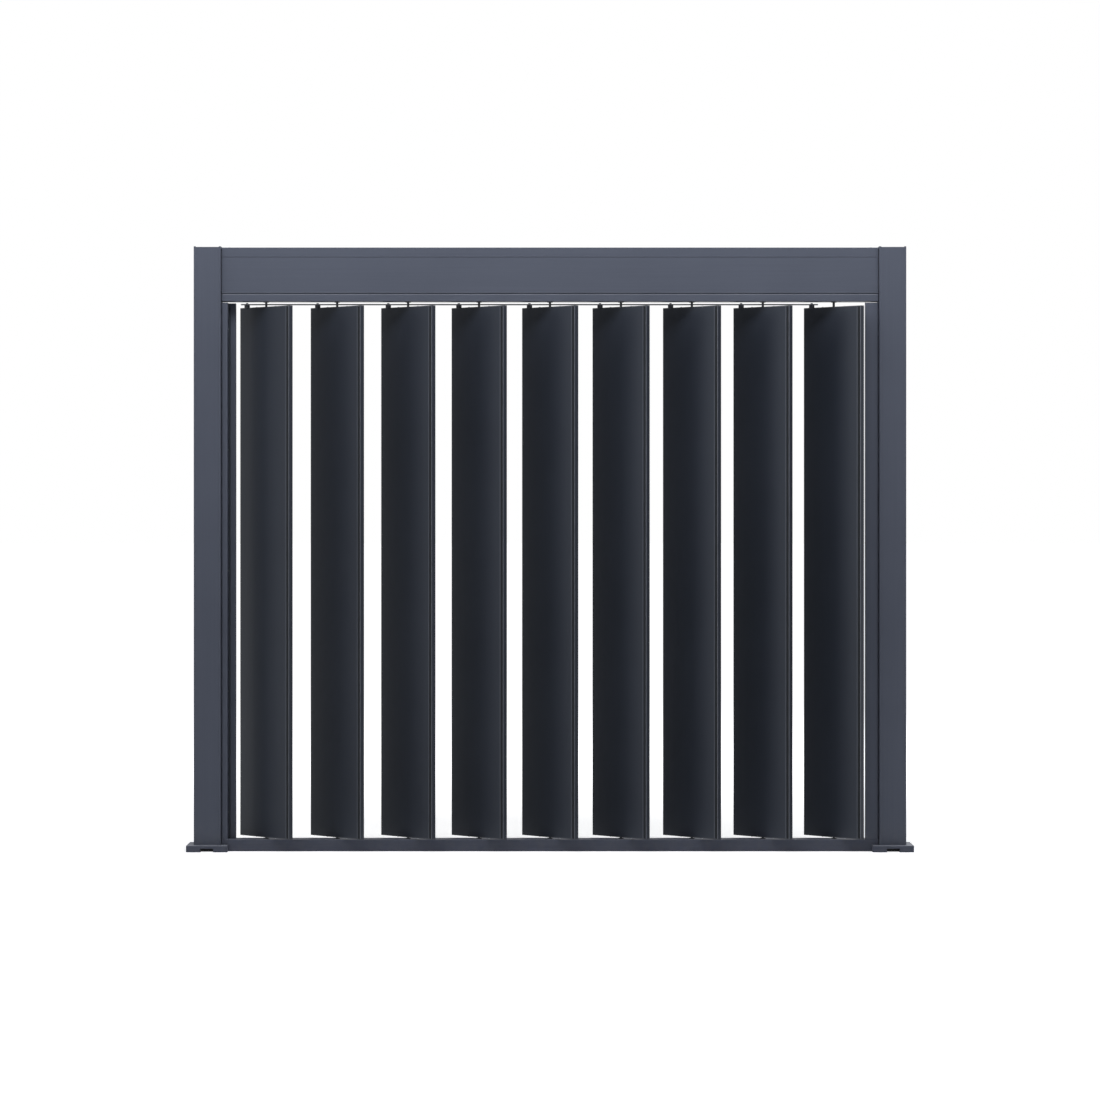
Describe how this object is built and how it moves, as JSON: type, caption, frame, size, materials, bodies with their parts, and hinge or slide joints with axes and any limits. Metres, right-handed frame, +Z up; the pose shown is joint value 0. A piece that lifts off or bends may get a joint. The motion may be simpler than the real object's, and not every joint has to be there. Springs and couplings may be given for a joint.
{
  "type": "louvred panel partition",
  "caption": "Free-standing partition of two square posts, a deep beam and a framed row of upright blades that turn together on pivots, linked by a drive rod along the top.",
  "frame": {"origin": "on the floor, at the middle of the bay between the two posts", "axes": "+X to the right along the bay as seen from the front, +Y to the back, +Z up"},
  "size_m": [3.001, 0.233, 2.5],
  "materials": {
    "frame_coat": "satin anthracite powder coat",
    "blade_coat": "satin anthracite powder coat",
    "cap_metal": "cast and powder coated",
    "rod_metal": "dark anodised",
    "black_steel": "black zinc plated",
    "bush_plastic": "moulded",
    "seal_rubber": "matt black"
  },
  "bodies": {
    "frame": {"left_post": "frame_coat", "right_post": "frame_coat", "left_post_cover": "frame_coat", "right_post_cover": "frame_coat", "left_post_cap": "frame_coat", "right_post_cap": "frame_coat", "left_foot_cover": "frame_coat", "right_foot_cover": "frame_coat", "top_beam": "frame_coat", "head_rail": "frame_coat", "sill_rail": "frame_coat", "left_side_channel": "frame_coat", "right_side_channel": "frame_coat", "left_foot_plate": "black_steel", "right_foot_plate": "black_steel", "left_beam_bracket": "black_steel", "right_beam_bracket": "black_steel", "upper_pivot_bushes": "bush_plastic", "lower_pivot_bushes": "bush_plastic", "left_jamb_seal": "seal_rubber", "right_jamb_seal": "seal_rubber"},
    "blade_1": {"blade_1": "blade_coat", "blade_1_seal": "seal_rubber", "blade_1_top_cap": "cap_metal", "blade_1_bottom_cap": "cap_metal"},
    "blade_2": {"blade_2": "blade_coat", "blade_2_seal": "seal_rubber", "blade_2_top_cap": "cap_metal", "blade_2_bottom_cap": "cap_metal"},
    "blade_3": {"blade_3": "blade_coat", "blade_3_seal": "seal_rubber", "blade_3_top_cap": "cap_metal", "blade_3_bottom_cap": "cap_metal"},
    "blade_4": {"blade_4": "blade_coat", "blade_4_seal": "seal_rubber", "blade_4_top_cap": "cap_metal", "blade_4_bottom_cap": "cap_metal"},
    "blade_5": {"blade_5": "blade_coat", "blade_5_seal": "seal_rubber", "blade_5_top_cap": "cap_metal", "blade_5_bottom_cap": "cap_metal"},
    "blade_6": {"blade_6": "blade_coat", "blade_6_seal": "seal_rubber", "blade_6_top_cap": "cap_metal", "blade_6_bottom_cap": "cap_metal"},
    "blade_7": {"blade_7": "blade_coat", "blade_7_seal": "seal_rubber", "blade_7_top_cap": "cap_metal", "blade_7_bottom_cap": "cap_metal"},
    "blade_8": {"blade_8": "blade_coat", "blade_8_seal": "seal_rubber", "blade_8_top_cap": "cap_metal", "blade_8_bottom_cap": "cap_metal"},
    "blade_9": {"blade_9": "blade_coat", "blade_9_seal": "seal_rubber", "blade_9_top_cap": "cap_metal", "blade_9_bottom_cap": "cap_metal"},
    "drive_rod": {"drive_rod": "rod_metal"}
  },
  "joints": [
    {"name": "blade_1_turn", "type": "hinge", "parent": "frame", "child": "blade_1", "pos_m": [-1.176, 0, 1.15], "axis": [0, 0, 1], "range_deg": [-130.7, 0]},
    {"name": "blade_2_turn", "type": "hinge", "parent": "frame", "child": "blade_2", "pos_m": [-0.882, 0, 1.15], "axis": [0, 0, 1], "range_deg": [-130.7, 0]},
    {"name": "blade_3_turn", "type": "hinge", "parent": "frame", "child": "blade_3", "pos_m": [-0.588, 0, 1.15], "axis": [0, 0, 1], "range_deg": [-130.7, 0]},
    {"name": "blade_4_turn", "type": "hinge", "parent": "frame", "child": "blade_4", "pos_m": [-0.294, 0, 1.15], "axis": [0, 0, 1], "range_deg": [-130.7, 0]},
    {"name": "blade_5_turn", "type": "hinge", "parent": "frame", "child": "blade_5", "pos_m": [0, 0, 1.15], "axis": [0, 0, 1], "range_deg": [-130.7, 0]},
    {"name": "blade_6_turn", "type": "hinge", "parent": "frame", "child": "blade_6", "pos_m": [0.294, 0, 1.15], "axis": [0, 0, 1], "range_deg": [-130.7, 0]},
    {"name": "blade_7_turn", "type": "hinge", "parent": "frame", "child": "blade_7", "pos_m": [0.588, 0, 1.15], "axis": [0, 0, 1], "range_deg": [-130.7, 0]},
    {"name": "blade_8_turn", "type": "hinge", "parent": "frame", "child": "blade_8", "pos_m": [0.882, 0, 1.15], "axis": [0, 0, 1], "range_deg": [-130.7, 0]},
    {"name": "blade_9_turn", "type": "hinge", "parent": "frame", "child": "blade_9", "pos_m": [1.176, 0, 1.15], "axis": [0, 0, 1], "range_deg": [-130.7, 0]},
    {"name": "rod_swing", "type": "hinge", "parent": "blade_5", "child": "drive_rod", "pos_m": [-0.08556, 0.07708, 2.266], "axis": [0, 0, 1], "range_deg": [0, 130.7]}
  ],
  "couplings": [
    {"joint": "blade_1_turn", "follows": "blade_5_turn", "ratio": 1},
    {"joint": "blade_2_turn", "follows": "blade_5_turn", "ratio": 1},
    {"joint": "blade_3_turn", "follows": "blade_5_turn", "ratio": 1},
    {"joint": "blade_4_turn", "follows": "blade_5_turn", "ratio": 1},
    {"joint": "blade_6_turn", "follows": "blade_5_turn", "ratio": 1},
    {"joint": "blade_7_turn", "follows": "blade_5_turn", "ratio": 1},
    {"joint": "blade_8_turn", "follows": "blade_5_turn", "ratio": 1},
    {"joint": "blade_9_turn", "follows": "blade_5_turn", "ratio": 1},
    {"joint": "rod_swing", "follows": "blade_5_turn", "ratio": -1}
  ]
}
